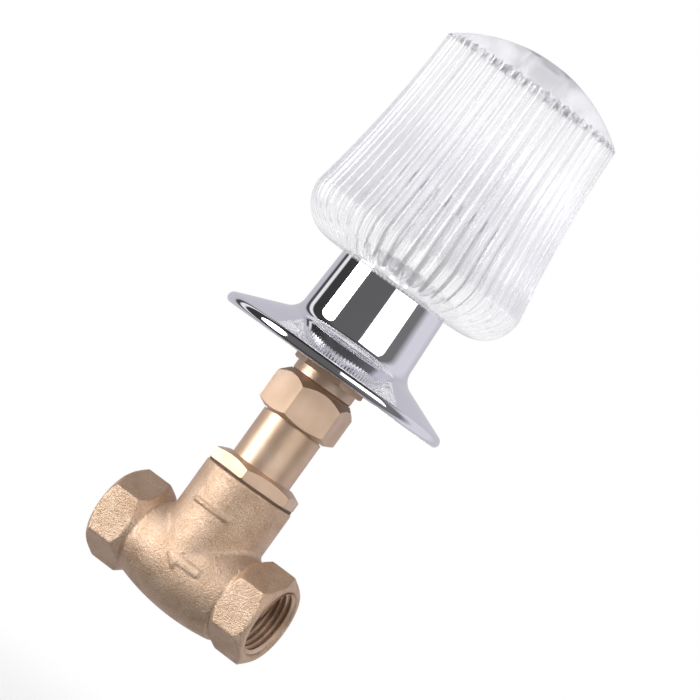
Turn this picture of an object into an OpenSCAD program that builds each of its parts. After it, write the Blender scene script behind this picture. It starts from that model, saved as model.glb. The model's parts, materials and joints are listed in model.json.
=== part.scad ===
// Concealed shower valve: a cast body with two threaded pipe ends, a rising stem
// under a screwed bonnet, a bell shaped escutcheon and a fluted clear knob.
// The stem stands along +Z, the pipe runs along X with the inlet at +X, and the
// origin is where the two axes cross.  The valve is drawn shut.

/* [Pipe ends] */
// Length of the body from one pipe face to the other
face_to_face = 60; // [58:0.5:70]
// Width of an end hexagon across its flats
end_hex_af = 26; // [25:0.5:30]
// Length of an end hexagon, without its cast shoulder
end_hex_l = 10.3; // [8.5:0.1:11]
// Turn of the end hexagons round the pipe, in degrees
end_hex_angle = 4; // [0:1:8]
// Length of the cast shoulder behind an end hexagon
shoulder_l = 2.6; // [2:0.1:4]
// Length of the turned chamfer on an end hexagon's outer corners
end_chamfer = 2; // [1:0.1:2.5]
// Diameter of the flat face of a pipe end
end_face_d = 24.8; // [24.2:0.1:25]
// Major diameter of the pipe thread
pipe_thread_d = 21; // [20:0.1:21.5]
// Depth of the pipe thread from its face
pipe_thread_l = 12.5; // [9:0.5:13]
// Width of the countersink at the mouth of the pipe thread
mouth_chamfer = 0.7; // [0.3:0.1:1]
// Diameter of the waterway behind the pipe thread
port_d = 17; // [14:0.5:18]

/* [Cast body] */
// Largest radius of the belly
belly_r = 14.6; // [14.6:0.1:17]
// Radius of the long bow along the belly
bow_r = 75; // [65:5:110]
// Distance of the widest place of the belly from the stem, towards the inlet
bow_x = 3; // [0:0.5:4]
// Drop of the belly below the pipe axis
belly_drop = 0.8; // [0:0.1:1.5]
// Diameter of the neck
neck_d = 29; // [28.6:0.1:29.1]
// Height of the neck's turned top above the pipe axis
neck_top = 28.1; // [27:0.1:34]
// Diameter of the neck's bore under the bonnet's thread
neck_bore_d = 22.2; // [21.6:0.1:22.6]
// Radius of the cast fillet between neck and belly
crotch_r = 2; // [1.2:0.1:2.4]
// Thickness of the cast walls
cast_wall = 2.6; // [2:0.1:3]
// Height of the raised cast marks
mark_h = 0.45; // [0.3:0.05:0.8]
// Length of the raised bar on the neck
bar_l = 12.4; // [8:0.2:14]
// Length of the raised flow arrow
arrow_l = 12; // [8:0.5:14]

/* [Waterway and seat] */
// Thickness of the upright webs that part inlet from outlet
web_t = 2.6; // [2:0.1:3.2]
// Thickness of the floor that carries the seat
floor_t = 4; // [3.5:0.1:5]
// Height of the floor's top above the pipe axis
floor_top = 8; // [7:0.1:8.6]
// Radius of the chamber above the floor
chamber_r = 9.6; // [9.3:0.1:10]
// Diameter of the screwed shank of the seat ring
seat_thread_d = 14; // [13.5:0.1:14.4]
// Diameter of the seat ring's flange
seat_flange_d = 16.6; // [16:0.1:17.4]
// Thickness of the seat ring's flange
seat_flange_t = 1.2; // [0.9:0.1:1.6]
// Height of the raised lip that the washer shuts on
seat_lip_h = 0.6; // [0.4:0.1:1]
// Outer diameter of the raised lip
seat_lip_d = 12.6; // [12.4:0.1:13]
// Diameter of the mouth inside the raised lip
seat_mouth_d = 11; // [10.6:0.1:11.4]
// Depth of that mouth
seat_mouth_l = 2.4; // [2.2:0.1:3]
// Width across the flats of the key hole through the seat ring
seat_key_af = 9.2; // [8.6:0.1:9.3]

/* [Bonnet] */
// Diameter of the thread that screws into the neck
bonnet_thread_d = 24; // [23.4:0.1:24.4]
// Length of that thread
bonnet_thread_l = 9.5; // [7:0.1:10]
// Thickness of the gasket under the bonnet's collar
gasket_t = 0.6; // [0.4:0.1:1.2]
// Width of the hexagonal collar across its flats
collar_af = 26; // [25:0.5:28]
// Turn of the collar's hexagon round the stem, in degrees
collar_angle = 40; // [0:1:60]
// Height of the collar's upright sides
collar_side = 3; // [2:0.1:5]
// Height of the turned slope above those sides
collar_slope = 1.8; // [1.4:0.1:2.4]
// Diameter of the smooth barrel
barrel_d = 19.6; // [19.2:0.1:20.2]
// Length of the smooth barrel
barrel_l = 15.4; // [13:0.1:22]
// Diameter of the thread on top of the barrel
barrel_thread_d = 18.2; // [17.6:0.1:18.6]
// Length of that thread
barrel_thread_l = 8.1; // [7.5:0.1:8.8]
// Depth of the packing box in the barrel
box_depth = 12; // [11:0.5:14]
// Diameter of the packing box
box_d = 13; // [12.6:0.1:13.6]
// Length of the bore that guides the shaft below the packing box
guide_l = 3; // [2:0.5:4]

/* [Gland and lock nut] */
// Width of the gland nut across its flats
gland_af = 22.8; // [22:0.1:25]
// Turn of the gland nut's hexagon round the stem, in degrees
gland_angle = 34; // [0:1:60]
// Height of the gland nut's hexagon
gland_h = 13.4; // [12.9:0.1:15]
// Thickness of the gland nut's roof
gland_roof = 3.5; // [3:0.1:4]
// Open space between the barrel's shoulder and the gland nut
gland_gap = 0.4; // [0.2:0.1:1]
// Diameter of the threaded nipple on the gland nut
nipple_d = 16; // [15.4:0.1:16.6]
// Length of that nipple
nipple_l = 19.8; // [17:0.2:24]
// Diameter of the lock nut's round collar
lock_collar_d = 19.8; // [19:0.1:20.4]
// Height of the lock nut's round collar
lock_collar_h = 3; // [2:0.1:4]
// Width of the lock nut across its flats
lock_af = 20.4; // [20:0.1:22]
// Turn of the lock nut's hexagon round the stem, in degrees
lock_angle = 11; // [0:1:60]
// Height of the lock nut's hexagon
lock_h = 5; // [3:0.1:6]
// Thickness of the follower's flange
follower_flange_t = 1.6; // [1.2:0.1:1.8]
// Length of the follower's spigot
follower_spigot_l = 4.4; // [3.6:0.1:4.6]
// Thickness of the washer under the packing
packing_washer_t = 1; // [0.6:0.1:1.4]

/* [Stem] */
// Height that the stem rises in one turn
stem_lead = 2; // [1.5:0.25:2.5]
// Turns from shut to fully open
stem_turns = 2; // [1.5:0.25:2]
// Diameter of the stem's operating thread
stem_thread_d = 12; // [11.6:0.1:12.4]
// Length of the operating thread
stem_thread_l = 12; // [9:0.5:12.5]
// Diameter of the stem's shaft
shaft_d = 9; // [8.6:0.1:9.2]
// Diameter of the splined end
spline_d = 8.2; // [7.8:0.1:8.4]
// Number of spline teeth
spline_teeth = 20; // [16:2:24]
// Depth of a spline tooth
spline_h = 0.5; // [0.4:0.05:0.7]
// Length of the splined end
spline_l = 13; // [11:0.5:14]

/* [Washer holder] */
// Diameter of the seat washer
washer_d = 15.2; // [14.6:0.1:15.4]
// Thickness of the seat washer
washer_t = 3.5; // [3:0.1:4]
// Thickness of the rim round the washer
holder_rim_t = 0.75; // [0.6:0.05:0.8]
// Depth of the rim round the washer
holder_rim_h = 2.1; // [1.5:0.1:2.4]
// Thickness of the holder's plate
holder_plate_t = 1.8; // [1.5:0.1:2]
// Diameter of the holder's stub
stub_d = 6; // [5.6:0.1:6.2]
// Length of the holder's stub
stub_l = 8; // [7:0.5:9]
// Diameter of the washer screw's thread
washer_screw_d = 3; // [2.5:0.5:3]
// Length of the washer screw's thread above the washer
washer_screw_l = 5; // [4:0.5:6]
// Diameter of the washer screw's head
washer_head_d = 7; // [6:0.1:8]
// Height of the washer screw's head
washer_head_h = 2; // [1.6:0.1:2.4]
// Diameter of the spring clip's wire
clip_wire = 0.8; // [0.6:0.1:0.9]

/* [Escutcheon] */
// Diameter over the rim of the bell
rim_d = 73.8; // [70:0.2:80]
// Height from the wall to the foot of the sleeve
bell_h = 12.8; // [12:0.1:14]
// Slope of the bell against the wall, in degrees
bell_slope = 22; // [20:0.5:23]
// Radius of the hollow where the bell runs into the sleeve
throat_r = 5; // [4:0.5:6]
// Radius of the turn from the bell to its rim
rim_turn_r = 2; // [1.5:0.1:2.6]
// Radius of the roll under the rim
rim_roll_r = 1.5; // [1.3:0.1:1.8]
// Width of the rim's flat lip against the wall
rim_lip = 1; // [0.6:0.1:2]
// Diameter of the sleeve at its foot
sleeve_foot_d = 36.8; // [36:0.2:38]
// Diameter of the sleeve at its mouth
sleeve_mouth_d = 34.6; // [34:0.2:35.6]
// Length of the sleeve
sleeve_l = 23.3; // [20:0.1:30]
// Thickness of the pressed metal
sheet_t = 0.9; // [0.7:0.1:1]
// Thickness of the flange of the ferrule inside the sleeve
ferrule_t = 2; // [1.5:0.1:3]
// Outer diameter of the ferrule's threaded hub
ferrule_hub_d = 20; // [19:0.5:24]

/* [Knob] */
// Diameter of the knob at its widest place
knob_d = 70.4; // [66:0.2:76]
// Diameter of the knob under its dome
knob_rim_d = 58.4; // [54:0.2:62]
// Height of the knob from its lower face to the foot of the dome
knob_side_h = 67.5; // [60:0.5:76]
// Radius of the rounded lower edge
knob_edge_r = 12; // [9:0.5:13]
// Radius of the long hollow bow of the side
knob_bow_r = 356; // [300:4:500]
// Radius of the dome
dome_r = 46.6; // [40:0.2:60]
// Radius of the turn from the dome to the side
dome_turn_r = 2; // [1:0.1:3]
// Number of flutes
flutes = 54; // [40:2:60]
// Depth of a flute
flute_h = 1.1; // [0.6:0.1:1.4]
// Length of the sleeve that the shut knob covers
knob_overlap = 5; // [4.4:0.1:8]
// Space round the sleeve inside the knob
recess_gap = 1.1; // [0.6:0.1:2]
// Space above the sleeve inside the shut knob
recess_top_gap = 3.5; // [2:0.1:5]
// Diameter of the knob's broached insert
insert_d = 14; // [13:0.5:18]
// Length of the broached insert
insert_l = 18; // [17:0.5:22]
// Length of the insert below the ceiling of the recess
insert_foot = 2; // [1:0.5:3]
// Diameter of the screw hole down the knob
access_d = 10.5; // [10:0.1:12]
// Diameter of the knob screw's thread
knob_screw_d = 4; // [3:0.5:4.5]
// Length of the knob screw under its head
knob_screw_l = 14; // [11:0.5:14]
// Diameter of the knob screw's head
knob_head_d = 8; // [7:0.1:9]
// Height of the knob screw's head
knob_head_h = 3; // [2.4:0.1:3.6]
// Thickness of the spring washer under the knob screw
screw_washer_t = 0.9; // [0.6:0.1:1.2]
// Diameter of the cap on the dome
cap_d = 24; // [18:0.5:28]
// Thickness of the cap at its edge
cap_t = 1.6; // [1.2:0.1:2.5]
// Length of the cap's plug
cap_plug_l = 7; // [5:0.5:12]

/* [Fits] */
// Radial clearance of a screw thread drawn as a plain cylinder
thread_fit = 0.05; // [0.03:0.01:0.08]
// Radial clearance of what turns or slides
run_fit = 0.06; // [0.03:0.01:0.09]
// Clearance of faces that press on each other
face_fit = 0.04; // [0.03:0.01:0.1]
// Clearance of pieces that stay put in each other
still_fit = 0.05; // [0.03:0.01:0.1]

/* [Hidden] */

$fn = 64;

// Overlap of joined shapes, and how far a cut runs past a face
eps = 0.01;
over = 1;

// Broken edges, lead chamfers of threads, and the undercut behind a thread
ease = 0.4;
lead = 0.8;
relief = 1;

// Width of a screwdriver slot
slot_w = 1;

// Radii and heights of the cast body
run_half = face_to_face / 2;
end_hex_r = end_hex_af / 2 / cos(30);
pipe_r = pipe_thread_d / 2;
port_r = port_d / 2;
neck_r = neck_d / 2;
neck_bore_r = neck_bore_d / 2;
bow_z = belly_r - bow_r;
shoulder_x = run_half - end_hex_l;
belly_x = shoulder_x - shoulder_l;
cavity_x = run_half - pipe_thread_l - 2.5;
floor_z = floor_top - floor_t;
web_turn = 2;

// Heights of the seat and the washer above it
seat_z = floor_top + seat_flange_t + seat_lip_h;
seat_foot_z = floor_z + 0.3;
washer_z = seat_z + face_fit;
plate_z = washer_z + washer_t;
holder_top = plate_z + holder_plate_t;
holder_r = washer_d / 2 + still_fit + holder_rim_t;
rim_foot_z = plate_z - holder_rim_h;
stem_z = holder_top + face_fit;
stub_top = stem_z + stub_l;
stub_r = stub_d / 2;
clip_z = stub_top - 2.5;
lift = stem_lead * stem_turns;

// Heights and radii of the bonnet and what is screwed on it
bonnet_r = bonnet_thread_d / 2;
barrel_r = barrel_d / 2;
barrel_thread_r = barrel_thread_d / 2;
box_r = box_d / 2;
shaft_r = shaft_d / 2;
stem_r = stem_thread_d / 2;
collar_z = neck_top + gasket_t;
collar_r = collar_af / 2 / cos(30);
collar_top = collar_z + collar_side + collar_slope;
spigot_z = neck_top - bonnet_thread_l;
spigot_bore_r = holder_r + 0.8;
shoulder_z = collar_top + barrel_l;
barrel_top = shoulder_z + barrel_thread_l;
box_z = barrel_top - box_depth;
stop_z = box_z - guide_l;
stop_gap = 0.3;
lift_top = max(spigot_z + 1, holder_top + lift + 0.5);
gland_z = shoulder_z + gland_gap;
gland_top = gland_z + gland_h;
gland_r = gland_af / 2 / cos(30);
roof_z = gland_top - gland_roof;
flange_z = roof_z - follower_flange_t;
follower_z = flange_z - follower_spigot_l;
packing_z = box_z + packing_washer_t;
packing_h = (follower_z - packing_z) / 3;
nipple_r = nipple_d / 2;
nipple_top = gland_top + nipple_l;
lock_z = gland_top + lock_collar_h;
lock_r = lock_af / 2 / cos(30);
lock_top = lock_z + lock_h;

// Heights and radii of the escutcheon
ferrule_z = nipple_top - ferrule_t;
wall_z = ferrule_z - bell_h - 0.4;
foot_z = wall_z + bell_h;
sleeve_top = foot_z + sleeve_l;
foot_r = sleeve_foot_d / 2;
mouth_r = sleeve_mouth_d / 2;
rim_r = rim_d / 2;
sleeve_lean = atan((foot_r - mouth_r) / sleeve_l);

// Heights and radii of the knob
knob_z = sleeve_top - knob_overlap;
knob_r = knob_d / 2;
knob_rim_r = knob_rim_d / 2;
widest_z = knob_z + knob_edge_r;
rim_z = knob_z + knob_side_h;
bow_h = rim_z - widest_z;
rim_lean = (knob_r - knob_rim_r - bow_h * bow_h / 2 / knob_bow_r) / bow_h;
dome_z = rim_z - sqrt(dome_r * dome_r - knob_rim_r * knob_rim_r);
dome_top = dome_z + dome_r;
recess_r = foot_r + recess_gap;
ceiling_z = sleeve_top + recess_top_gap;
insert_r = insert_d / 2;
insert_z = ceiling_z - insert_foot;
insert_top = insert_z + insert_l;
head_z = insert_top + screw_washer_t;
screw_r = knob_screw_d / 2;
screw_end_z = insert_top - knob_screw_l;
spline_z = insert_z - 0.3;
spline_top = spline_z + spline_l;
spline_r = spline_d / 2;
access_r = access_d / 2;
cap_r = cap_d / 2;
cap_z = dome_z + sqrt(dome_r * dome_r - cap_r * cap_r) - cap_t;

// Heights of the stem's thread
stem_thread_top = stop_z - lift - stop_gap;
stem_thread_z = stem_thread_top - stem_thread_l;

// Colours
brass = "#c9a468";
cast_brass = "#cda98a";
chrome_plate = "#c3c6d0";
steel = "#b9bcc2";
graphite = "#3b3d40";
nylon = "#e9e8e3";
clear_plastic = [0.93, 0.95, 0.97, 0.45];

// Cylinder between two heights
module rod(r, z0, z1) {
    translate([0, 0, z0]) cylinder(r = r, h = z1 - z0);
}

// Cone between two heights
module taper(r0, r1, z0, z1) {
    translate([0, 0, z0]) cylinder(r1 = r0, r2 = r1, h = z1 - z0);
}

// Hexagonal bar between two heights, with its corners turned to an angle
module hex_bar(r, z0, z1, turn = 0) {
    translate([0, 0, z0]) rotate(turn) cylinder(r = r, h = z1 - z0, $fn = 6);
}

// Cylinder between two heights with 45 degree chamfers of the widths low and high
module turned(r, z0, z1, low, high) {
    rotate_extrude() polygon(concat(
        [[0, z0]], low > 0 ? [[r - low, z0], [r, z0 + low]] : [[r, z0]],
        high > 0 ? [[r, z1 - high], [r - high, z1]] : [[r, z1]], [[0, z1]]));
}

// Hexagon between two heights whose corners are turned away at both ends: low and high
// are the [height, width] of each turned slope at the corners
module turned_hex(r, z0, z1, low, high, turn) {
    wide = 1.2;
    intersection() {
        hex_bar(r, z0, z1, turn);
        rotate_extrude() polygon([
            [0, z0], [r - low[1], z0], [r + (wide - 1) * low[1], z0 + wide * low[0]],
            [r + (wide - 1) * high[1], z1 - wide * high[0]], [r - high[1], z1], [0, z1]]);
    }
}

// Points of an arc from angle a0 to angle a1
function arc(cx, cy, r, a0, a1, steps) =
    [for (i = [0:steps]) let (a = a0 + (a1 - a0) * i / steps) [cx + r * cos(a), cy + r * sin(a)]];

// Lays something drawn along +Z along the pipe axis, towards +X
module along_pipe() {
    rotate([0, 90, 0]) children();
}

// Belly of the casting, grown or shrunk by grow and cut off at x = reach
module belly(grow, reach) {
    translate([0, 0, -belly_drop]) along_pipe() rotate_extrude()
        intersection() {
            translate([bow_z, bow_x]) circle(r = bow_r + grow, $fn = 360);
            translate([0, -reach]) square([belly_r + grow + over, 2 * reach]);
        }
}

// One threaded end: a hexagon with corners up and down, its outer corners turned
// and a cast shoulder behind it
module end_hex(angle) {
    slope = shoulder_l + over;
    along_pipe() turned_hex(end_hex_r, belly_x - over, run_half, [slope, slope],
                            [end_chamfer, end_hex_r - end_face_d / 2], angle);
}

// Centre of a ball that rolls round the crotch, touching the neck and the belly
function ball(a) =
    let (x = (neck_r + crotch_r) * cos(a), y = (neck_r + crotch_r) * sin(a),
         d = bow_z + sqrt(pow(bow_r + crotch_r, 2) - pow(x - bow_x, 2)))
    [x, y, sqrt(d * d - y * y)];

// Directions from the ball's centre to its touching point on the neck and on the belly
function to_neck(a) = [-cos(a), -sin(a), 0];
function to_belly(a) =
    let (c = ball(a), d = norm([c[1], c[2]]))
    [bow_x - c[0], (bow_z - d) * c[1] / d, (bow_z - d) * c[2] / d] / (bow_r + crotch_r);

// Closed section of the fillet at angle a: a core inside the wall, then the arc
function crotch_section(a, steps) =
    let (c = ball(a), n = to_neck(a), b = to_belly(a), turn = acos(n * b),
         way = function (t) (n * sin((1 - t) * turn) + b * sin(t * turn)) / sin(turn),
         trim = 0.07, skin = 0.04, root = 0.6, core = 1.2)
    concat([c + (n + b) * (crotch_r + core), c + way(trim) * (crotch_r + root)],
           [for (i = [0:steps]) c + way(trim + (1 - 2 * trim) * i / steps) * (crotch_r - skin)],
           [c + way(1 - trim) * (crotch_r + root)]);

// Cast fillet round the neck, swept as a closed ring of sections
module crotch_fillet(rings = 60, steps = 6) {
    n = steps + 4;
    points = [for (k = [0:rings - 1]) each crotch_section(360 * k / rings, steps)];
    faces = [for (k = [0:rings - 1], i = [0:n - 1])
        let (k2 = (k + 1) % rings, i2 = (i + 1) % n)
        [k * n + i, k * n + i2, k2 * n + i2, k2 * n + i]];
    translate([0, 0, -belly_drop]) polyhedron(points, faces, convexity = 6);
}

// Flow arrow towards the outlet, drawn in the plane of the two axes
module arrow_outline() {
    head_l = 0.35 * arrow_l;
    head_w = 0.25 * arrow_l;
    shaft_w = head_w / 3;
    translate([bow_x - arrow_l / 2, 0]) polygon([
        [0, 0], [head_l, head_w], [head_l, shaft_w], [arrow_l, shaft_w],
        [arrow_l, -shaft_w], [head_l, -shaft_w], [head_l, -head_w]]);
}

// Raised marks on the front of the casting: the flow arrow and a bar on the neck
module cast_marks() {
    bar_z = 0.6 * neck_top;
    bar_w = 2 * mark_h;
    intersection() {
        rotate([90, 0, 0]) linear_extrude(height = 2 * belly_r) arrow_outline();
        belly(mark_h, belly_x);
    }
    intersection() {
        translate([-bar_l / 2, -2 * neck_r, bar_z - bar_w / 2]) cube([bar_l, 2 * neck_r, bar_w]);
        rod(neck_r + mark_h, 0, neck_top);
    }
}

// The web that parts inlet from outlet: an S of two upright walls and the floor
module web() {
    far = 2 * belly_r;
    outlet_x = web_turn - chamber_r;
    rotate([90, 0, 0]) translate([0, 0, -far]) linear_extrude(height = 2 * far) polygon([
        [outlet_x - web_t, -far], [outlet_x - web_t, floor_top - web_turn],
        [outlet_x - web_t + web_turn, floor_top],
        [chamber_r, floor_top], [chamber_r, far], [chamber_r + web_t, far],
        [chamber_r + web_t, floor_z + web_turn], [chamber_r + web_t - web_turn, floor_z],
        [outlet_x, floor_z], [outlet_x, -far]]);
}

// Hollow of the casting: the belly's inside without the web, the chamber and the neck
module waterway() {
    bore_z = spigot_z - 3;
    difference() {
        union() {
            belly(-cast_wall, cavity_x);
            along_pipe() rod(port_r, -run_half + over, run_half - over);
        }
        web();
    }
    rod(chamber_r, floor_top, bore_z);
    taper(chamber_r, neck_bore_r, bore_z - 2, bore_z);
    rod(neck_bore_r, bore_z - eps, neck_top - over);
    rod(bonnet_r + thread_fit, spigot_z - lead, neck_top + over);
    rod(seat_thread_d / 2 + thread_fit, floor_z - over, floor_top + over);
    for (side = [0, 180]) rotate(side) along_pipe() {
        rod(pipe_r, run_half - pipe_thread_l, run_half + over);
        taper(pipe_r, pipe_r + mouth_chamfer + eps, run_half - mouth_chamfer, run_half + eps);
    }
}

module valve_body() {
    color(cast_brass) difference() {
        union() {
            belly(0, belly_x);
            turned(neck_r, -belly_drop, neck_top, 0, ease);
            crotch_fillet();
            for (side = [0, 180]) rotate(side) end_hex(end_hex_angle * cos(side));
            cast_marks();
        }
        waterway();
    }
}

module seat_ring() {
    key_r = seat_key_af / 2;
    mouth_z = seat_z - seat_mouth_l;
    color(brass) difference() {
        union() {
            rod(seat_thread_d / 2, seat_foot_z, floor_top + eps);
            rod(seat_flange_d / 2, floor_top, floor_top + seat_flange_t);
            taper((seat_lip_d + seat_lip_h) / 2, seat_lip_d / 2, floor_top + seat_flange_t - eps, seat_z);
        }
        hex_bar(key_r / cos(30), seat_foot_z - over, seat_z + over);
        taper(key_r, seat_mouth_d / 2, mouth_z - (seat_mouth_d / 2 - key_r), mouth_z);
        rod(seat_mouth_d / 2, mouth_z - eps, seat_z + over);
    }
}

module bonnet_gasket() {
    color("#4a3b33") difference() {
        rod(neck_r - ease, neck_top, collar_z);
        rod(bonnet_r + still_fit, neck_top - over, collar_z + over);
    }
}

module bonnet() {
    collar_turn = collar_r - barrel_r - 1.2;
    color(brass) difference() {
        union() {
            turned(bonnet_r, spigot_z, neck_top - relief, lead, 0);
            rod(bonnet_r - relief, neck_top - relief - eps, collar_z + eps);
            turned_hex(collar_r, collar_z, collar_top, [ease, ease], [collar_slope, collar_turn],
                       collar_angle);
            rod(barrel_r, collar_top - eps, shoulder_z);
            turned(barrel_thread_r, shoulder_z - eps, barrel_top, 0, lead);
        }
        rod(spigot_bore_r, spigot_z - over, lift_top);
        taper(spigot_bore_r, stem_r, lift_top - eps, lift_top + 1);
        rod(stem_r + run_fit, lift_top, stop_z);
        rod(shaft_r + run_fit, stop_z - over, box_z + over);
        rod(box_r, box_z, barrel_top + over);
        taper(box_r, box_r + ease + eps, barrel_top - ease, barrel_top + eps);
    }
}

module packing_washer() {
    color(steel) difference() {
        rod(box_r - still_fit, box_z, packing_z);
        rod(shaft_r + run_fit, box_z - over, packing_z + over);
    }
}

// Packing ring number i from below, with its corners eased by use
module packing_ring(i) {
    inner = shaft_r + run_fit;
    outer = box_r - still_fit;
    color(graphite) translate([0, 0, packing_z + i * packing_h]) rotate_extrude() polygon([
        [inner + ease, 0], [outer - ease, 0], [outer, ease], [outer, packing_h - ease],
        [outer - ease, packing_h], [inner + ease, packing_h], [inner, packing_h - ease], [inner, ease]]);
}

module gland_follower() {
    color(brass) difference() {
        union() {
            rod(box_r - still_fit, follower_z, flange_z + eps);
            turned(barrel_thread_r - relief, flange_z, roof_z, ease, ease);
        }
        rod(shaft_r + run_fit, follower_z - over, roof_z + over);
    }
}

module gland_nut() {
    turn = gland_r - barrel_r - ease;
    bore_r = shaft_r + 0.3;
    color(brass) difference() {
        union() {
            turned_hex(gland_r, gland_z, gland_top, [turn / 2, turn], [turn, turn], gland_angle);
            turned(nipple_r, gland_top - eps, nipple_top, 0, lead);
        }
        rod(barrel_thread_r + thread_fit, gland_z - over, roof_z);
        rod(bore_r, roof_z - over, nipple_top + over);
        taper(bore_r, bore_r + lead, nipple_top - lead, nipple_top + eps);
    }
}

module lock_nut() {
    color(brass) difference() {
        union() {
            turned(lock_collar_d / 2, gland_top, lock_z + eps, ease, 0);
            turned_hex(lock_r, lock_z, lock_top, [ease, lead], [lead, 1.5 * lead], lock_angle);
        }
        rod(nipple_r + thread_fit, gland_top - over, lock_top + over);
    }
}

// Outer line of the escutcheon at depth t under its skin, from the mouth to the rim
function bell_line(t) =
    let (a = bell_slope, s = sleeve_lean,
         rim_cx = rim_r - rim_turn_r, rim_cz = rim_roll_r,
         roll_cx = rim_r - rim_roll_r,
         edge = [rim_cx + rim_turn_r * sin(a), rim_cz + rim_turn_r * cos(a)],
         throat_cx = foot_r + throat_r / cos(s),
         throat_cz = edge[1] + (edge[0] - throat_cx) * tan(a) + throat_r / cos(a))
    concat([[mouth_r - t, bell_h + sleeve_l]],
           arc(throat_cx, throat_cz, throat_r + t, 180 + s, 270 - a, 8),
           arc(rim_cx, rim_cz, rim_turn_r - t, 90 - a, 0, 6),
           arc(roll_cx, rim_cz, rim_roll_r - t, 0, -90, 6),
           [[roll_cx - rim_lip, t]]);

module escutcheon() {
    outside = bell_line(0);
    inside = bell_line(sheet_t);
    way_back = [for (i = [len(inside) - 1:-1:0]) inside[i]];
    color(chrome_plate) translate([0, 0, wall_z]) rotate_extrude($fn = 128)
        polygon(concat(outside, way_back));
}

module escutcheon_ferrule() {
    web_r = foot_r - sheet_t - ferrule_t * tan(sleeve_lean) - 2 * still_fit;
    color(brass) difference() {
        union() {
            turned(ferrule_hub_d / 2, lock_top + face_fit, ferrule_z + eps, ease, 0);
            rod(web_r, ferrule_z, nipple_top);
        }
        rod(nipple_r + thread_fit, lock_top - over, nipple_top + over);
    }
}

// Star of spline teeth, grown by grow
module spline_star(grow) {
    step = 360 / spline_teeth;
    polygon([for (i = [0:spline_teeth - 1], j = [0, 1])
        let (r = spline_r + grow - j * spline_h, a = (i + j / 2) * step) [r * cos(a), r * sin(a)]]);
}

// Ring-shaped groove for the clip, with room round the wire
module clip_groove(room) {
    translate([0, 0, clip_z]) rotate_extrude()
        translate([stub_r, 0]) circle(d = clip_wire + 2 * room, $fn = 32);
}

module stem() {
    root_r = stem_r - lead;
    color(brass) difference() {
        union() {
            turned(root_r, stem_z, stem_thread_z + lead, ease, 0);
            turned(stem_r, stem_thread_z, stem_thread_top, lead, lead);
            turned(shaft_r, stem_thread_top - lead, spline_z, 0, ease / 2);
            translate([0, 0, spline_z - relief]) linear_extrude(height = spline_l + relief) spline_star(0);
        }
        rod(stub_r + run_fit, stem_z - over, stub_top + lead);
        clip_groove(0.15);
        rod(screw_r + thread_fit, screw_end_z - relief, spline_top + over);
    }
}

module washer_holder() {
    color(brass) difference() {
        union() {
            rod(holder_r, rim_foot_z, holder_top);
            turned(stub_r, holder_top - eps, stub_top, 0, ease);
        }
        rod(washer_d / 2 + still_fit, rim_foot_z - over, plate_z);
        clip_groove(0.1);
        rod(washer_screw_d / 2 + thread_fit, plate_z - over, plate_z + washer_screw_l + relief);
    }
}

module seat_washer() {
    color("#2c2c2e") difference() {
        turned(washer_d / 2, washer_z, plate_z, ease, ease / 2);
        rod(washer_screw_d / 2 + still_fit, washer_z - over, plate_z + over);
    }
}

module washer_screw() {
    foot_z = washer_z - washer_head_h;
    color(brass) difference() {
        union() {
            turned(washer_head_d / 2, foot_z, washer_z, lead, 0);
            rod(washer_screw_d / 2, washer_z - eps, plate_z + washer_screw_l);
        }
        translate([-washer_head_d, -slot_w / 2, foot_z - over])
            cube([2 * washer_head_d, slot_w, over + washer_head_h / 2]);
    }
}

module holder_clip() {
    color(steel) translate([0, 0, clip_z]) rotate(25)
        rotate_extrude(angle = 310) translate([stub_r, 0]) circle(d = clip_wire, $fn = 24);
}

// Radius of the knob's side over the ridges, at height h below the foot of the dome
function side_r(h) = knob_rim_r + rim_lean * h + h * h / 2 / knob_bow_r;

// Line of the knob's ridges as [radius, height, share of the flute's depth]
function ridge_line(edge_steps, side_steps) =
    concat([for (i = [0:edge_steps - 1])
                let (a = 88 * (i / edge_steps - 1))
                [knob_r - knob_edge_r + knob_edge_r * cos(a), widest_z + knob_edge_r * sin(a),
                 min(1, i / edge_steps * 1.6)]],
           [for (i = [0:side_steps])
                let (h = bow_h * (1 - i / side_steps)) [side_r(h), rim_z - h, 1]],
           [[knob_rim_r, dome_top + over, 1]]);

// Depth of the flute at four places round it: rounded ribs that meet in sharp valleys
rib = [1, 0.3, 0, 0.3];

// Fluted skin of the knob, swept from ring to ring and closed at both ends
module fluted_skin() {
    line = ridge_line(7, 5);
    n = flutes * len(rib);
    points = [for (p = line, i = [0:n - 1])
        let (r = p[0] - flute_h * rib[i % len(rib)] * p[2], a = 360 * i / n)
        [r * cos(a), r * sin(a), p[1]]];
    walls = [for (k = [0:len(line) - 2], i = [0:n - 1])
        let (i2 = (i + 1) % n) [k * n + i, (k + 1) * n + i, (k + 1) * n + i2, k * n + i2]];
    last = (len(line) - 1) * n;
    polyhedron(points, concat(walls, [[for (i = [0:n - 1]) i]],
                              [[for (i = [n - 1:-1:0]) last + i]]), convexity = 4);
}

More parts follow.
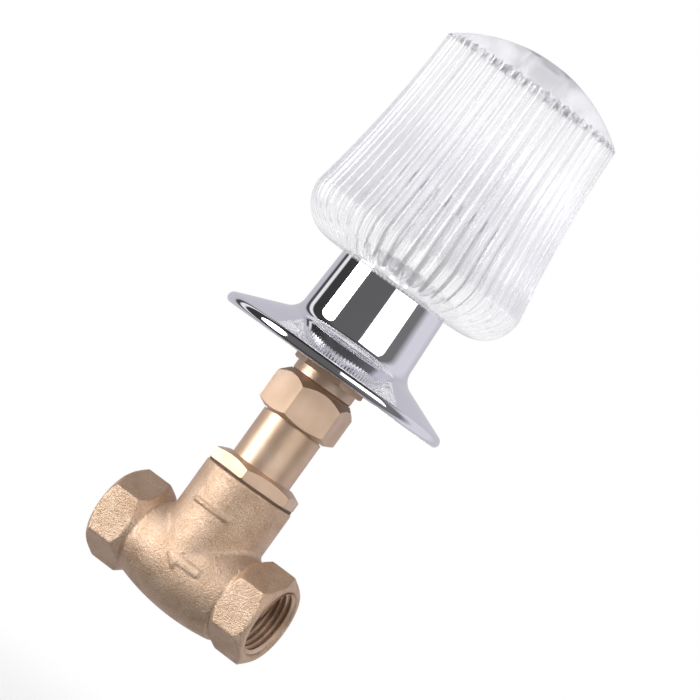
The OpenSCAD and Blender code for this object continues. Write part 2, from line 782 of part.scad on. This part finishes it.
// Smooth dome with a small turn into the side, as a solid that cuts the fluted skin
module dome_form() {
    side = knob_rim_r + flute_h / 2;
    turn_x = side - dome_turn_r;
    turn_z = dome_z + sqrt(pow(dome_r - dome_turn_r, 2) - turn_x * turn_x);
    reach = 2 * dome_r;
    lean = atan((turn_z - dome_z) / turn_x);
    rotate_extrude($fn = 128) {
        intersection() {
            translate([0, dome_z]) circle(r = dome_r, $fn = 360);
            polygon([[0, dome_z], [reach * cos(lean), dome_z + reach * sin(lean)],
                     [0, dome_z + reach]]);
        }
        intersection() {
            translate([turn_x, turn_z]) circle(r = dome_turn_r, $fn = 64);
            translate([0, turn_z - dome_turn_r]) square([side + over, 2 * dome_turn_r]);
        }
        polygon([[0, knob_z - over], [2 * knob_r, knob_z - over], [2 * knob_r, widest_z + bow_h / 2],
                 [side, turn_z], [turn_x, turn_z], [0, dome_z]]);
    }
}

module knob() {
    color(clear_plastic) difference() {
        intersection() {
            fluted_skin();
            dome_form();
        }
        rod(recess_r, knob_z - over, ceiling_z);
        taper(recess_r + lead + eps, recess_r, knob_z - eps, knob_z + lead);
        rod(insert_r + still_fit, ceiling_z - over, insert_top);
        rod(access_r, insert_top - over, cap_z + over);
        rod(cap_r + still_fit, cap_z, dome_top + over);
    }
}

module knob_insert() {
    color(nylon) difference() {
        turned(insert_r, insert_z, insert_top, ease, ease);
        translate([0, 0, insert_z - over]) linear_extrude(height = spline_top + ease - insert_z + over)
            spline_star(still_fit);
        rod(screw_r + 0.2, insert_z, insert_top + over);
    }
}

module screw_washer() {
    color(steel) difference() {
        rod(knob_head_d / 2, insert_top, head_z);
        rod(screw_r + 0.15, insert_top - over, head_z + over);
    }
}

module knob_screw() {
    cross_l = 0.6 * knob_head_d;
    color(steel) difference() {
        union() {
            turned(knob_head_d / 2, head_z, head_z + knob_head_h, 0, lead);
            rod(screw_r, screw_end_z, head_z + eps);
        }
        for (turn = [0, 90]) rotate(turn)
            translate([-cross_l / 2, -slot_w / 2, head_z + 0.4 * knob_head_h])
                cube([cross_l, slot_w, knob_head_h]);
    }
}

module index_cap() {
    color(clear_plastic) intersection() {
        union() {
            rod(cap_r, cap_z, dome_top);
            rod(access_r - still_fit, cap_z - cap_plug_l, cap_z + eps);
        }
        translate([0, 0, dome_z]) sphere(r = dome_r, $fn = 360);
    }
}

valve_body();
seat_ring();
bonnet_gasket();
bonnet();
gland_nut();
packing_washer();
packing_ring(0);  // packing_ring_lower
packing_ring(1);  // packing_ring_middle
packing_ring(2);  // packing_ring_upper
gland_follower();
lock_nut();
escutcheon();
escutcheon_ferrule();
stem();
washer_holder();
seat_washer();
washer_screw();
holder_clip();
knob();
knob_insert();
screw_washer();
knob_screw();
index_cap();
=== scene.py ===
import json
from math import atan2, cos, pi, radians, sin, sqrt, tan

import bmesh
import bpy
from mathutils import Matrix, Vector


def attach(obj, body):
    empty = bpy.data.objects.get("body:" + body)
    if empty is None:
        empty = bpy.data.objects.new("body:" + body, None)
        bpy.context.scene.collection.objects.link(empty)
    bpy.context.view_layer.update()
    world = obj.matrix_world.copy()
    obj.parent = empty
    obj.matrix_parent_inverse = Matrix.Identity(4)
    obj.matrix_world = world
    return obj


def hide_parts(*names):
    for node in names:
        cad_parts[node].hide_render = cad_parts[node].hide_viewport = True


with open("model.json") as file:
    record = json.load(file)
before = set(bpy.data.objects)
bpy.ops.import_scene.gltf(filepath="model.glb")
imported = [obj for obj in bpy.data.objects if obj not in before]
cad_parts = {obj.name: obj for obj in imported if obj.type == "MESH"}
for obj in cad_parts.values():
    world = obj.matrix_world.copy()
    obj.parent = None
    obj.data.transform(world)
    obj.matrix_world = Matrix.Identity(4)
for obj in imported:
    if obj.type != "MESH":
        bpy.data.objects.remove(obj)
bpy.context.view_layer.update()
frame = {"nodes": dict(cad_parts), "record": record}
nodes = frame["nodes"]

# Lengths are in millimetres, or in metres where the name ends in _M
MM = 0.001

# Viewpoint of the photo; angles in degrees
VIEW_AZIMUTH = 22.32
VIEW_ELEVATION = -0.93
VIEW_ROLL = 35.70
VIEW_DISTANCE = 1141.6
TARGET_Z = 85.0
TARGET_PIXEL = (366.6, 323.7)
PIXELS_PER_MM = 3.508
PHOTO_SIDE = 700
SENSOR = 36.0
CLIP_M = (0.01, 50)

# Escutcheon
WALL_Z = 67.3
RIM_R = 36.9
RIM_TURN_R = 2.0
RIM_ROLL_R = 1.5
RIM_LIP = 1.0
BELL_H = 12.8
BELL_SLOPE = radians(22)
THROAT_R = 5.0
FOOT_R = 18.4
MOUTH_R = 17.3
SLEEVE_L = 23.3
SHEET_T = 0.9
THROAT_STEPS, RIM_STEPS, BELL_SEGMENTS = 28, 12, 256

# Knob
KNOB_Z = 98.4
KNOB_R = 35.2
KNOB_RIM_R = 29.2
KNOB_SIDE_H = 67.5
KNOB_EDGE_R = 12.0
KNOB_EDGE_TURN = radians(88)
KNOB_BOW_R = 356.0
DOME_R = 46.6
DOME_TURN_R = 2.0
FLUTES = 54
FLUTE_H = 1.1
# Share of the lower edge over which the flutes grow to their depth
FLUTE_START = 1 / 1.6
RECESS_R = 19.5
RECESS_LEAD = 0.8
CEILING_Z = 106.9
INSERT_R = 7.05
INSERT_TOP = 122.9
ACCESS_R = 5.25
CAP_R = 12.05
CAP_T = 1.6
STEPS_PER_FLUTE, EDGE_STEPS, SIDE_STEPS, DOME_STEPS = 12, 14, 22, 16
# Power that crowds the dome's rings towards its edge
DOME_CROWD = 1.6

# Ports
RUN_HALF = 30.0
PIPE_R = 10.5
MOUTH_CHAMFER = 0.7
THREAD_L = 12.5
THREAD_H = 0.95
THREAD_PITCH = 1.814
THREAD_GAP = 0.3
# Half widths of the thread's ridge at its root and crest, and how deep the root sits in the wall
ROOT_HALF, CREST_HALF, ROOT_DEPTH = 0.46, 0.07, 0.08
# Parts of a turn over which the ridge fades in at its foot and out at the mouth
FADE_IN, FADE_OUT = 0.3, 0.5
THREAD_SEGMENTS = 72

# Skin of the casting
WELD_M = 0.000002
VOXEL_M = 0.00042

# Polished collar of the lock nut, from its foot to its hexagon
COLLAR_Z = (62.7, 65.7)
COLLAR_EDGE = 0.1
COLLAR_POLISH = 0.42

# Tones of the brass: places on a noise and their colours
CAST_TONES = [(0.30, (0.53, 0.37, 0.255)), (0.50, (0.63, 0.455, 0.33)),
              (0.72, (0.70, 0.53, 0.405))]
TURNED_TONES = [(0.3, (0.53, 0.37, 0.25)), (0.55, (0.64, 0.46, 0.34)),
                (0.75, (0.72, 0.55, 0.43))]
CAST_METALLIC, TURNED_METALLIC = 0.84, 0.86
# Painted shade: greys that multiply the brass inside a port and between the turns of its thread,
# where shade falls
PORT_PAINTED_SHADE, GROOVE_PAINTED_SHADE = 0.25, 0.3

ACRYLIC_IOR = 1.49
ACRYLIC_ROUGH = 0.16

# Floor: a disc that is as white as the ground beyond WHITE_AT_M from the valve
FLOOR_Z_M = -0.09
FLOOR_R_M = 12
WHITE_FROM_M, WHITE_AT_M = 0.15, 0.5


def grey(v):
    return (v, v, v)


# Studio that gloss shows: tones at angles from the photo's line of sight, to the right
DARK, BLACK, SMOKE, ASH = grey(0.137), grey(0.05), grey(0.08), grey(0.2)
PALE, DUSK, WHITE = (0.80, 0.79, 0.85), (0.62, 0.61, 0.66), grey(1.0)
STUDIO = [(-180, DUSK), (-137, DUSK), (-132, SMOKE), (-124, SMOKE), (-121, WHITE), (-113, WHITE),
          (-110, BLACK), (-85, BLACK), (-51, DARK), (6, DARK), (60, ASH), (78, ASH),
          (96, PALE), (128, PALE), (150, DUSK), (180, DUSK)]
# Strength of that studio from its foot (0) to its top (1)
STUDIO_STRENGTH = [(0.05, grey(0.45)), (0.15, WHITE), (0.86, WHITE), (0.95, grey(0.2))]
# Strength of the ground as a light on matt surfaces
GROUND_LIGHT = 0.6
# Tone that metal seen through the knob mirrors, and its share there
CLEAR_TONE = (0.89, 0.88, 0.94, 1)
CLEAR_SHARE = 0.68


def view_axes():
    """Directions towards the camera, to the image's right and to its top."""
    a, e, r = radians(VIEW_AZIMUTH), radians(VIEW_ELEVATION), radians(VIEW_ROLL)
    back = Vector((sin(a) * cos(e), -cos(a) * cos(e), sin(e)))
    level = Vector((cos(a), sin(a), 0))
    upright = back.cross(level)
    return back, cos(r) * level + sin(r) * upright, cos(r) * upright - sin(r) * level


def put_in_scene(name, data):
    """An object of that name in the scene, round the given data."""
    obj = bpy.data.objects.new(name, data)
    bpy.context.scene.collection.objects.link(obj)
    return obj


def make_camera():
    """The photo's camera: it stands where the fit says and aims at the image's middle."""
    back, right, top = view_axes()
    target = Vector((0, 0, TARGET_Z))
    place = target + back * VIEW_DISTANCE
    half = PHOTO_SIDE / 2
    aim = (target + right * (half - TARGET_PIXEL[0]) / PIXELS_PER_MM
           - top * (half - TARGET_PIXEL[1]) / PIXELS_PER_MM)
    z = (place - aim).normalized()
    x = top.cross(z).normalized()
    y = z.cross(x)
    data = bpy.data.cameras.new("camera")
    data.sensor_width = SENSOR
    data.lens = SENSOR * PIXELS_PER_MM * VIEW_DISTANCE / PHOTO_SIDE
    data.clip_start, data.clip_end = CLIP_M
    camera = put_in_scene("camera", data)
    turn = Matrix((x, y, z)).transposed().to_4x4()
    camera.matrix_world = Matrix.Translation(place * MM) @ turn
    bpy.context.scene.camera = camera


def new_material(name):
    """A material with its node tree and its Principled shader."""
    mat = bpy.data.materials.new(name)
    mat.use_nodes = True
    tree = mat.node_tree
    return mat, tree, tree.nodes["Principled BSDF"]


def add(tree, kind, **values):
    """A node; values set its properties, or its inputs by name."""
    node = tree.nodes.new(kind)
    for key, value in values.items():
        if key in node.inputs:
            node.inputs[key].default_value = value
        else:
            setattr(node, key, value)
    return node


def object_place(tree):
    """The place on the object, in metres."""
    return tree.nodes.new("ShaderNodeTexCoord").outputs["Object"]


def noise(tree, scale, detail=3.0, rough=0.5):
    """Noise in the object's own coordinates; scale is in cells to a metre."""
    node = add(tree, "ShaderNodeTexNoise", Scale=scale, Detail=detail, Roughness=rough)
    tree.links.new(object_place(tree), node.inputs["Vector"])
    return node.outputs["Fac"]


def ramp(tree, source, stops):
    """Colour ramp over a value; stops are (place, colour)."""
    node = tree.nodes.new("ShaderNodeValToRGB")
    marks = node.color_ramp.elements
    while len(marks) < len(stops):
        marks.new(0.5)
    for mark, (place, colour) in zip(marks, stops):
        mark.position = place
        mark.color = (*colour, 1)
    tree.links.new(source, node.inputs["Fac"])
    return node.outputs["Color"]


def multiply(tree, first, second):
    """Product of two colours."""
    node = add(tree, "ShaderNodeMixRGB", blend_type="MULTIPLY", Fac=1.0)
    tree.links.new(first, node.inputs["Color1"])
    tree.links.new(second, node.inputs["Color2"])
    return node.outputs["Color"]


def bump(tree, source, distance, strength=1.0, below=None):
    """Relief of a height, over the relief below it; distance is in metres."""
    node = add(tree, "ShaderNodeBump", Strength=strength, Distance=distance)
    tree.links.new(source, node.inputs["Height"])
    if below:
        tree.links.new(below, node.inputs["Normal"])
    return node.outputs["Normal"]


def calc(tree, operation, first, second):
    """Maths on a socket and a socket or number."""
    node = add(tree, "ShaderNodeMath", operation=operation)
    tree.links.new(first, node.inputs[0])
    if isinstance(second, float):
        node.inputs[1].default_value = second
    else:
        tree.links.new(second, node.inputs[1])
    return node.outputs[0]


def blend(tree, share, first, second):
    """The first shader, with that share of the second."""
    node = tree.nodes.new("ShaderNodeMixShader")
    for place, source in enumerate((share, first, second)):
        tree.links.new(source, node.inputs[place])
    return node.outputs[0]


def length_of(tree, source):
    node = add(tree, "ShaderNodeVectorMath", operation="LENGTH")
    tree.links.new(source, node.inputs[0])
    return node.outputs["Value"]


def paint_port_shade(tree, colour, stops):
    """Paints shade: multiplies a colour by greys that go with the distance from the pipe's axis.
    """
    across = add(tree, "ShaderNodeVectorMath", operation="MULTIPLY")
    across.inputs[1].default_value = (0, 1, 1)
    tree.links.new(object_place(tree), across.inputs[0])
    from_pipe = length_of(tree, across.outputs["Vector"])
    return multiply(tree, colour, ramp(tree, from_pipe, [(r * MM, grey(v)) for r, v in stops]))


def make_cast_brass():
    """Sand-cast brass, blasted: a grained, speckled skin with soft blotches, and painted shade
    inside the ports.
    """
    mat, tree, shader = new_material("cast_brass")
    blotches = ramp(tree, noise(tree, scale=140, detail=4.0, rough=0.6), CAST_TONES)
    # Painted shade: brass within the port bore's radius of the pipe's axis is darkened
    with_painted_shade = paint_port_shade(tree, blotches, [(PIPE_R + 0.1, PORT_PAINTED_SHADE), (PIPE_R + 0.5, 1.0)])
    speckle = ramp(tree, noise(tree, scale=2600, detail=2.0),
                   [(0.36, (0.80, 0.76, 0.72)), (0.56, WHITE)])
    tree.links.new(multiply(tree, with_painted_shade, speckle), shader.inputs["Base Color"])
    pits = noise(tree, scale=620, detail=4.0, rough=0.65)
    sand = noise(tree, scale=1500, rough=0.6)
    grain = noise(tree, scale=3600, detail=2.0)
    shine = ramp(tree, sand, [(0.3, grey(0.40)), (0.7, grey(0.56))])
    tree.links.new(shine, shader.inputs["Roughness"])
    relief = bump(tree, pits, distance=0.00014, strength=0.8)
    relief = bump(tree, sand, distance=0.00016, strength=0.9, below=relief)
    relief = bump(tree, grain, distance=0.00016, below=relief)
    tree.links.new(relief, shader.inputs["Normal"])
    shader.inputs["Metallic"].default_value = CAST_METALLIC
    return mat


def make_machined_brass():
    """Turned brass: satin, with fine rings round the stem's axis and one polished collar, and
    painted shade between the turns of the port threads.
    """
    mat, tree, shader = new_material("machined_brass")
    blotches = ramp(tree, noise(tree, scale=90), TURNED_TONES)
    crest = PIPE_R - THREAD_H
    # Painted shade: brass between the thread's crest and root radius round the pipe's axis is
    # darkened, so the grooves between turns look shaded
    with_painted_shade = paint_port_shade(tree, blotches, [
        (crest, 1.0), (crest + 0.1, 1.0), (crest + 0.35, GROOVE_PAINTED_SHADE),
        (PIPE_R + 0.1, GROOVE_PAINTED_SHADE), (PIPE_R + 0.2, 1.0)])
    tree.links.new(with_painted_shade, shader.inputs["Base Color"])

    place = object_place(tree)
    squeeze = add(tree, "ShaderNodeMapping", Scale=(25, 25, 6000))
    tree.links.new(place, squeeze.inputs["Vector"])
    lines = add(tree, "ShaderNodeTexNoise", Scale=1.0, Detail=2.0)
    tree.links.new(squeeze.outputs["Vector"], lines.inputs["Vector"])
    rings = lines.outputs["Fac"]
    shine = ramp(tree, rings, [(0.3, grey(0.38)), (0.7, grey(0.48))])
    height = add(tree, "ShaderNodeSeparateXYZ")
    tree.links.new(place, height.inputs[0])
    low, high = COLLAR_Z
    polish = ramp(tree, height.outputs["Z"], [(z * MM, grey(v)) for z, v in (
        (low, 1.0), (low + COLLAR_EDGE, COLLAR_POLISH),
        (high - COLLAR_EDGE, COLLAR_POLISH), (high, 1.0))])
    tree.links.new(multiply(tree, shine, polish), shader.inputs["Roughness"])
    relief = bump(tree, rings, distance=0.00001, strength=0.4)
    tree.links.new(relief, shader.inputs["Normal"])
    shader.inputs["Metallic"].default_value = TURNED_METALLIC
    return mat


def make_chrome():
    """Polished chrome plate with a faint cloud in its polish."""
    mat, tree, shader = new_material("chrome")
    cloud = noise(tree, scale=60, detail=2.0)
    tone = ramp(tree, cloud, [(0.3, (0.76, 0.75, 0.80)), (0.7, (0.80, 0.79, 0.83))])
    tree.links.new(tone, shader.inputs["Base Color"])
    shine = ramp(tree, cloud, [(0.3, grey(0.03)), (0.7, grey(0.06))])
    tree.links.new(shine, shader.inputs["Roughness"])
    shader.inputs["Metallic"].default_value = 1.0
    return mat


def make_acrylic():
    """Clear moulded acrylic."""
    mat, tree, shader = new_material("clear_acrylic")
    tone = ramp(tree, noise(tree, scale=200),
                [(0.3, (0.965, 0.963, 0.98)), (0.7, (0.985, 0.985, 0.99))])
    tree.links.new(tone, shader.inputs["Base Color"])
    shader.inputs["Transmission Weight"].default_value = 1.0
    shader.inputs["IOR"].default_value = ACRYLIC_IOR
    shader.inputs["Roughness"].default_value = ACRYLIC_ROUGH
    return mat


def make_plain(name, dark, light, rough, scale, depth, metallic=0.0):
    """A plain stuff: two tones mixed by noise, with the same noise as its relief."""
    mat, tree, shader = new_material(name)
    grain = noise(tree, scale=scale, detail=4.0, rough=0.6)
    tone = ramp(tree, grain, [(0.35, dark), (0.65, light)])
    tree.links.new(tone, shader.inputs["Base Color"])
    tree.links.new(bump(tree, grain, distance=depth), shader.inputs["Normal"])
    shader.inputs["Roughness"].default_value = rough
    shader.inputs["Metallic"].default_value = metallic
    return mat


MATERIALS = {
    "cast_brass": make_cast_brass(),
    "machined_brass": make_machined_brass(),
    "chrome": make_chrome(),
    "clear_acrylic": make_acrylic(),
    "white_nylon": make_plain("white_nylon", dark=(0.80, 0.80, 0.79), light=(0.86, 0.86, 0.85),
                              rough=0.45, scale=900, depth=0.00002),
    "seat_rubber": make_plain("seat_rubber", dark=(0.025, 0.025, 0.027), light=grey(0.05),
                              rough=0.7, scale=1500, depth=0.00004),
    "packing": make_plain("packing", dark=(0.03, 0.03, 0.035), light=(0.10, 0.10, 0.11),
                          rough=0.5, scale=2500, depth=0.0001),
    "fibre_gasket": make_plain("fibre_gasket", dark=(0.07, 0.035, 0.025),
                               light=(0.13, 0.07, 0.05), rough=0.8, scale=1800, depth=0.00005),
    "steel": make_plain("steel", dark=(0.50, 0.51, 0.53), light=(0.62, 0.63, 0.65),
                        rough=0.3, scale=1200, depth=0.00001, metallic=1.0),
}


def dress_nodes():
    """Gives every CAD node the material of its slot."""
    slots = {s["node"]: s["material_slot"] for s in frame["record"]["subparts"]}
    for name, node in nodes.items():
        node.data.materials.clear()
        node.data.materials.append(MATERIALS[slots[name]])


def mesh_piece(name, points, faces, slot, body, smooth_angle):
    """A closed mesh of its own, smooth where its faces meet at less than an angle."""
    data = bpy.data.meshes.new(name)
    data.from_pydata([tuple(c * MM for c in p) for p in points], [], faces)
    data.materials.append(MATERIALS[slot])
    obj = put_in_scene(name, data)
    bm = bmesh.new()
    bm.from_mesh(data)
    bmesh.ops.recalc_face_normals(bm, faces=bm.faces)
    for face in bm.faces:
        face.smooth = True
    for edge in bm.edges:
        if len(edge.link_faces) == 2:
            edge.smooth = edge.calc_face_angle() < smooth_angle
    bm.to_mesh(data)
    bm.free()
    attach(obj, body)
    return obj


def grid_faces(rows, n, closed=True):
    """Faces between rings of n points; closed joins the last ring to the first."""
    return [(k * n + i, k * n + (i + 1) % n,
             (k + 1) % rows * n + (i + 1) % n, (k + 1) % rows * n + i)
            for k in range(rows if closed else rows - 1) for i in range(n)]


def arc(cx, cy, r, a0, a1, steps):
    """Points of an arc; the angles are in radians."""
    return [(cx + r * cos(a0 + (a1 - a0) * i / steps), cy + r * sin(a0 + (a1 - a0) * i / steps))
            for i in range(steps + 1)]


def bell_line(t):
    """Line of the escutcheon at depth t under its skin, from the mouth to the rim."""
    lean = atan2(FOOT_R - MOUTH_R, SLEEVE_L)
    rim_cx = RIM_R - RIM_TURN_R
    roll_cx = RIM_R - RIM_ROLL_R
    edge = (rim_cx + RIM_TURN_R * sin(BELL_SLOPE), RIM_ROLL_R + RIM_TURN_R * cos(BELL_SLOPE))
    throat_cx = FOOT_R + THROAT_R / cos(lean)
    throat_cz = edge[1] + (edge[0] - throat_cx) * tan(BELL_SLOPE) + THROAT_R / cos(BELL_SLOPE)
    line = [(MOUTH_R - t, BELL_H + SLEEVE_L)]
    line += arc(throat_cx, throat_cz, THROAT_R + t, pi + lean, 1.5 * pi - BELL_SLOPE, THROAT_STEPS)
    line += arc(rim_cx, RIM_ROLL_R, RIM_TURN_R - t, pi / 2 - BELL_SLOPE, 0, RIM_STEPS)
    line += arc(roll_cx, RIM_ROLL_R, RIM_ROLL_R - t, 0, -pi / 2, RIM_STEPS)[1:]
    line.append((roll_cx - RIM_LIP, t))
    return [(r, z + WALL_Z) for r, z in line]


def make_escutcheon():
    """Bell and sleeve, one sheet turned round the stem's axis."""
    line = bell_line(0) + bell_line(SHEET_T)[::-1]
    turns = [2 * pi * k / BELL_SEGMENTS for k in range(BELL_SEGMENTS)]
    points = [(r * cos(a), r * sin(a), z) for a in turns for r, z in line]
    bell = mesh_piece("escutcheon_skin", points, grid_faces(BELL_SEGMENTS, len(line)),
                      "chrome", "valve", radians(30))
    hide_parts("escutcheon")


def dome_height(r):
    """Height of the knob's top over radius r: the dome and its turn into the side."""
    dome_z = KNOB_Z + KNOB_SIDE_H - sqrt(DOME_R ** 2 - KNOB_RIM_R ** 2)
    turn_x = KNOB_RIM_R + FLUTE_H / 2 - DOME_TURN_R
    turn_z = dome_z + sqrt((DOME_R - DOME_TURN_R) ** 2 - turn_x ** 2)
    if r <= turn_x * DOME_R / (DOME_R - DOME_TURN_R):
        return dome_z + sqrt(DOME_R ** 2 - r ** 2)
    return turn_z + sqrt(max(0, DOME_TURN_R ** 2 - (r - turn_x) ** 2))


def make_knob():
    """Fluted clear knob, one closed skin from its recess over the dome and down its bore."""
    widest_z = KNOB_Z + KNOB_EDGE_R
    rim_z = KNOB_Z + KNOB_SIDE_H
    bow_h = rim_z - widest_z
    rim_lean = (KNOB_R - KNOB_RIM_R - bow_h ** 2 / 2 / KNOB_BOW_R) / bow_h
    n = FLUTES * STEPS_PER_FLUTE
    depth = [FLUTE_H * (1 - sin(pi * (i % STEPS_PER_FLUTE) / STEPS_PER_FLUTE)) for i in range(n)]

    rings = [[(r, z)] * n for r, z in (
        (RECESS_R, CEILING_Z), (RECESS_R, KNOB_Z + RECESS_LEAD), (RECESS_R + RECESS_LEAD, KNOB_Z))]
    for k in range(EDGE_STEPS):
        a = KNOB_EDGE_TURN * (k / EDGE_STEPS - 1)
        r = KNOB_R - KNOB_EDGE_R + KNOB_EDGE_R * cos(a)
        share = min(1, k / EDGE_STEPS / FLUTE_START)
        rings.append([(r - d * share, widest_z + KNOB_EDGE_R * sin(a)) for d in depth])
    for k in range(SIDE_STEPS):
        h = bow_h * (1 - k / SIDE_STEPS)
        r = KNOB_RIM_R + rim_lean * h + h * h / 2 / KNOB_BOW_R
        rings.append([(r - d, rim_z - h) for d in depth])
    rim = [KNOB_RIM_R - d for d in depth]
    for k in range(DOME_STEPS + 1):
        t = (k / DOME_STEPS) ** DOME_CROWD
        row = [r * (1 - t) + CAP_R * t for r in rim]
        rings.append([(r, dome_height(r)) for r in row])
    cap_z = dome_height(CAP_R) - CAP_T
    rings += [[(r, z)] * n for r, z in (
        (CAP_R, cap_z), (ACCESS_R, cap_z), (ACCESS_R, INSERT_TOP),
        (INSERT_R, INSERT_TOP), (INSERT_R, CEILING_Z))]

    points = [(r * cos(2 * pi * i / n), r * sin(2 * pi * i / n), z)
              for ring in rings for i, (r, z) in enumerate(ring)]
    knob = mesh_piece("knob_skin", points, grid_faces(len(rings), n),
                      "clear_acrylic", "spindle", radians(38))
    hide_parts("knob")


def make_cast_body():
    """The casting with its soft cast edges: a remeshed copy of the CAD solid."""
    body = put_in_scene("valve_body_cast", nodes["valve_body"].data.copy())
    weld = body.modifiers.new("weld", "WELD")
    weld.merge_threshold = WELD_M
    remesh = body.modifiers.new("remesh", "REMESH")
    remesh.mode = "VOXEL"
    remesh.voxel_size = VOXEL_M
    remesh.use_smooth_shade = True
    soften = body.modifiers.new("soften", "SMOOTH")
    soften.factor = 0.5
    soften.iterations = 2
    graph = bpy.context.evaluated_depsgraph_get()
    final = bpy.data.meshes.new_from_object(body.evaluated_get(graph))
    body.modifiers.clear()
    body.data = final
    final.materials.clear()
    final.materials.append(MATERIALS["cast_brass"])
    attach(body, "valve")
    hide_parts("valve_body")


def make_port_thread(name, side):
    """Thread in a port: a closed strip on a helix that leaves the bore's wall and returns."""
    start, end = RUN_HALF - THREAD_L + THREAD_GAP, RUN_HALF - MOUTH_CHAMFER * 0.6
    steps = int((end - start) / THREAD_PITCH * THREAD_SEGMENTS)
    profile = [(ROOT_DEPTH, -ROOT_HALF), (-THREAD_H, -CREST_HALF),
               (-THREAD_H, CREST_HALF), (ROOT_DEPTH, ROOT_HALF)]
    points = []
    for k in range(steps + 1):
        a = 2 * pi * k / THREAD_SEGMENTS
        fade = min(1, k / (THREAD_SEGMENTS * FADE_IN), (steps - k) / (THREAD_SEGMENTS * FADE_OUT))
        for dr, dx in profile:
            r = PIPE_R + (dr * fade if dr < 0 else dr)
            x = start + THREAD_PITCH * (k / THREAD_SEGMENTS + dx)
            points.append((side * x, r * cos(a) * side, r * sin(a)))
    n = len(profile)
    faces = grid_faces(steps + 1, n, closed=False)
    faces += [tuple(range(n)), tuple(steps * n + i for i in reversed(range(n)))]
    mesh_piece(name, points, faces, "machined_brass", "valve", radians(25))


def make_world():
    """White ground for the camera and through the knob; a studio with dark bands for gloss."""
    world = bpy.data.worlds.new("studio")
    bpy.context.scene.world = world
    world.use_nodes = True
    tree = world.node_tree
    tree.nodes.clear()
    out = tree.nodes.new("ShaderNodeOutputWorld")
    direction = tree.nodes.new("ShaderNodeTexCoord").outputs["Generated"]
    path = tree.nodes.new("ShaderNodeLightPath").outputs
    a = radians(VIEW_AZIMUTH)

    def along(axis):
        dot = add(tree, "ShaderNodeVectorMath", operation="DOT_PRODUCT")
        tree.links.new(direction, dot.inputs[0])
        dot.inputs[1].default_value = axis
        return dot.outputs["Value"]

    def spread(source, low):
        """Brings a value between low and its opposite or 1 to 0 ... 1."""
        node = add(tree, "ShaderNodeMapRange", **{"From Min": low, "From Max": -low})
        tree.links.new(source, node.inputs["Value"])
        return node.outputs["Result"]

    def background(colour, strength):
        node = add(tree, "ShaderNodeBackground", Color=colour, Strength=strength)
        return node.outputs[0]

    angle = calc(tree, "ARCTAN2", along((cos(a), sin(a), 0)), along((sin(a), -cos(a), 0)))
    bands = ramp(tree, spread(angle, -pi), [((d + 180) / 360, tone) for d, tone in STUDIO])
    glossy = add(tree, "ShaderNodeBackground")
    tree.links.new(bands, glossy.inputs["Color"])
    tree.links.new(ramp(tree, spread(along((0, 0, 1)), -1.0), STUDIO_STRENGTH),
                   glossy.inputs["Strength"])
    room = blend(tree, path["Is Glossy Ray"], background((1, 1, 1, 1), GROUND_LIGHT),
                 glossy.outputs[0])
    within = blend(tree, calc(tree, "MINIMUM", path["Transmission Depth"], CLEAR_SHARE),
                   room, background(CLEAR_TONE, 1.0))
    seen = calc(tree, "MAXIMUM", path["Is Camera Ray"], path["Is Transmission Ray"])
    tree.links.new(blend(tree, seen, within, background((1, 1, 1, 1), 1.0)),
                   out.inputs["Surface"])


def softbox(name, shape, degrees, distance, width, foot, head, power):
    """Upright lamp at an angle from the photo's line of sight, to the right; in metres."""
    a = radians(VIEW_AZIMUTH) + radians(degrees)
    data = bpy.data.lights.new(name, "AREA")
    data.shape = shape
    data.size, data.size_y = width, head - foot
    data.energy = power
    lamp = put_in_scene(name, data)
    lamp.location = (sin(a) * distance, -cos(a) * distance, (foot + head) / 2)
    lamp.rotation_euler = (pi / 2, 0, a)
    lamp.visible_transmission = False


def make_lights():
    """Two softboxes that the chrome mirrors, and a weak one above that it doesn't."""
    softbox("softbox_left", "ELLIPSE", degrees=-68, distance=1.2, width=0.68,
            foot=-0.6, head=0.85, power=21)
    softbox("softbox_right", "RECTANGLE", degrees=32.5, distance=1.2, width=1.14,
            foot=0.10, head=1.2, power=10.5)
    data = bpy.data.lights.new("softbox_top", "AREA")
    data.shape = "DISK"
    data.size = 0.9
    data.energy = 2.5
    top = put_in_scene("softbox_top", data)
    top.location = (0.1, -0.2, 1.4)
    top.visible_glossy = False


def make_floor():
    """Plain pale floor well below the valve; far from it, it is as white as the ground."""
    bm = bmesh.new()
    bmesh.ops.create_circle(bm, cap_ends=True, segments=64, radius=FLOOR_R_M)
    data = bpy.data.meshes.new("floor")
    bm.to_mesh(data)
    bm.free()
    floor = put_in_scene("floor", data)
    floor.location = (0, 0, FLOOR_Z_M)
    mat, tree, shader = new_material("floor")
    shader.inputs["Base Color"].default_value = (0.9, 0.9, 0.9, 1)
    shader.inputs["Roughness"].default_value = 0.9
    glow = add(tree, "ShaderNodeEmission", Color=(1, 1, 1, 1), Strength=1.0)
    far = add(tree, "ShaderNodeMapRange", interpolation_type="SMOOTHSTEP",
              **{"From Min": WHITE_FROM_M, "From Max": WHITE_AT_M})
    tree.links.new(length_of(tree, object_place(tree)), far.inputs["Value"])
    path = tree.nodes.new("ShaderNodeLightPath")
    share = calc(tree, "MULTIPLY", far.outputs["Result"], path.outputs["Is Camera Ray"])
    tree.links.new(blend(tree, share, shader.outputs[0], glow.outputs[0]),
                   tree.nodes["Material Output"].inputs["Surface"])
    data.materials.append(mat)
    floor.visible_glossy = False


bpy.context.scene.view_settings.view_transform = "Standard"
make_camera()
dress_nodes()
make_escutcheon()
make_knob()
make_cast_body()
make_port_thread("inlet_thread", 1)
make_port_thread("outlet_thread", -1)
make_world()
make_lights()
make_floor()
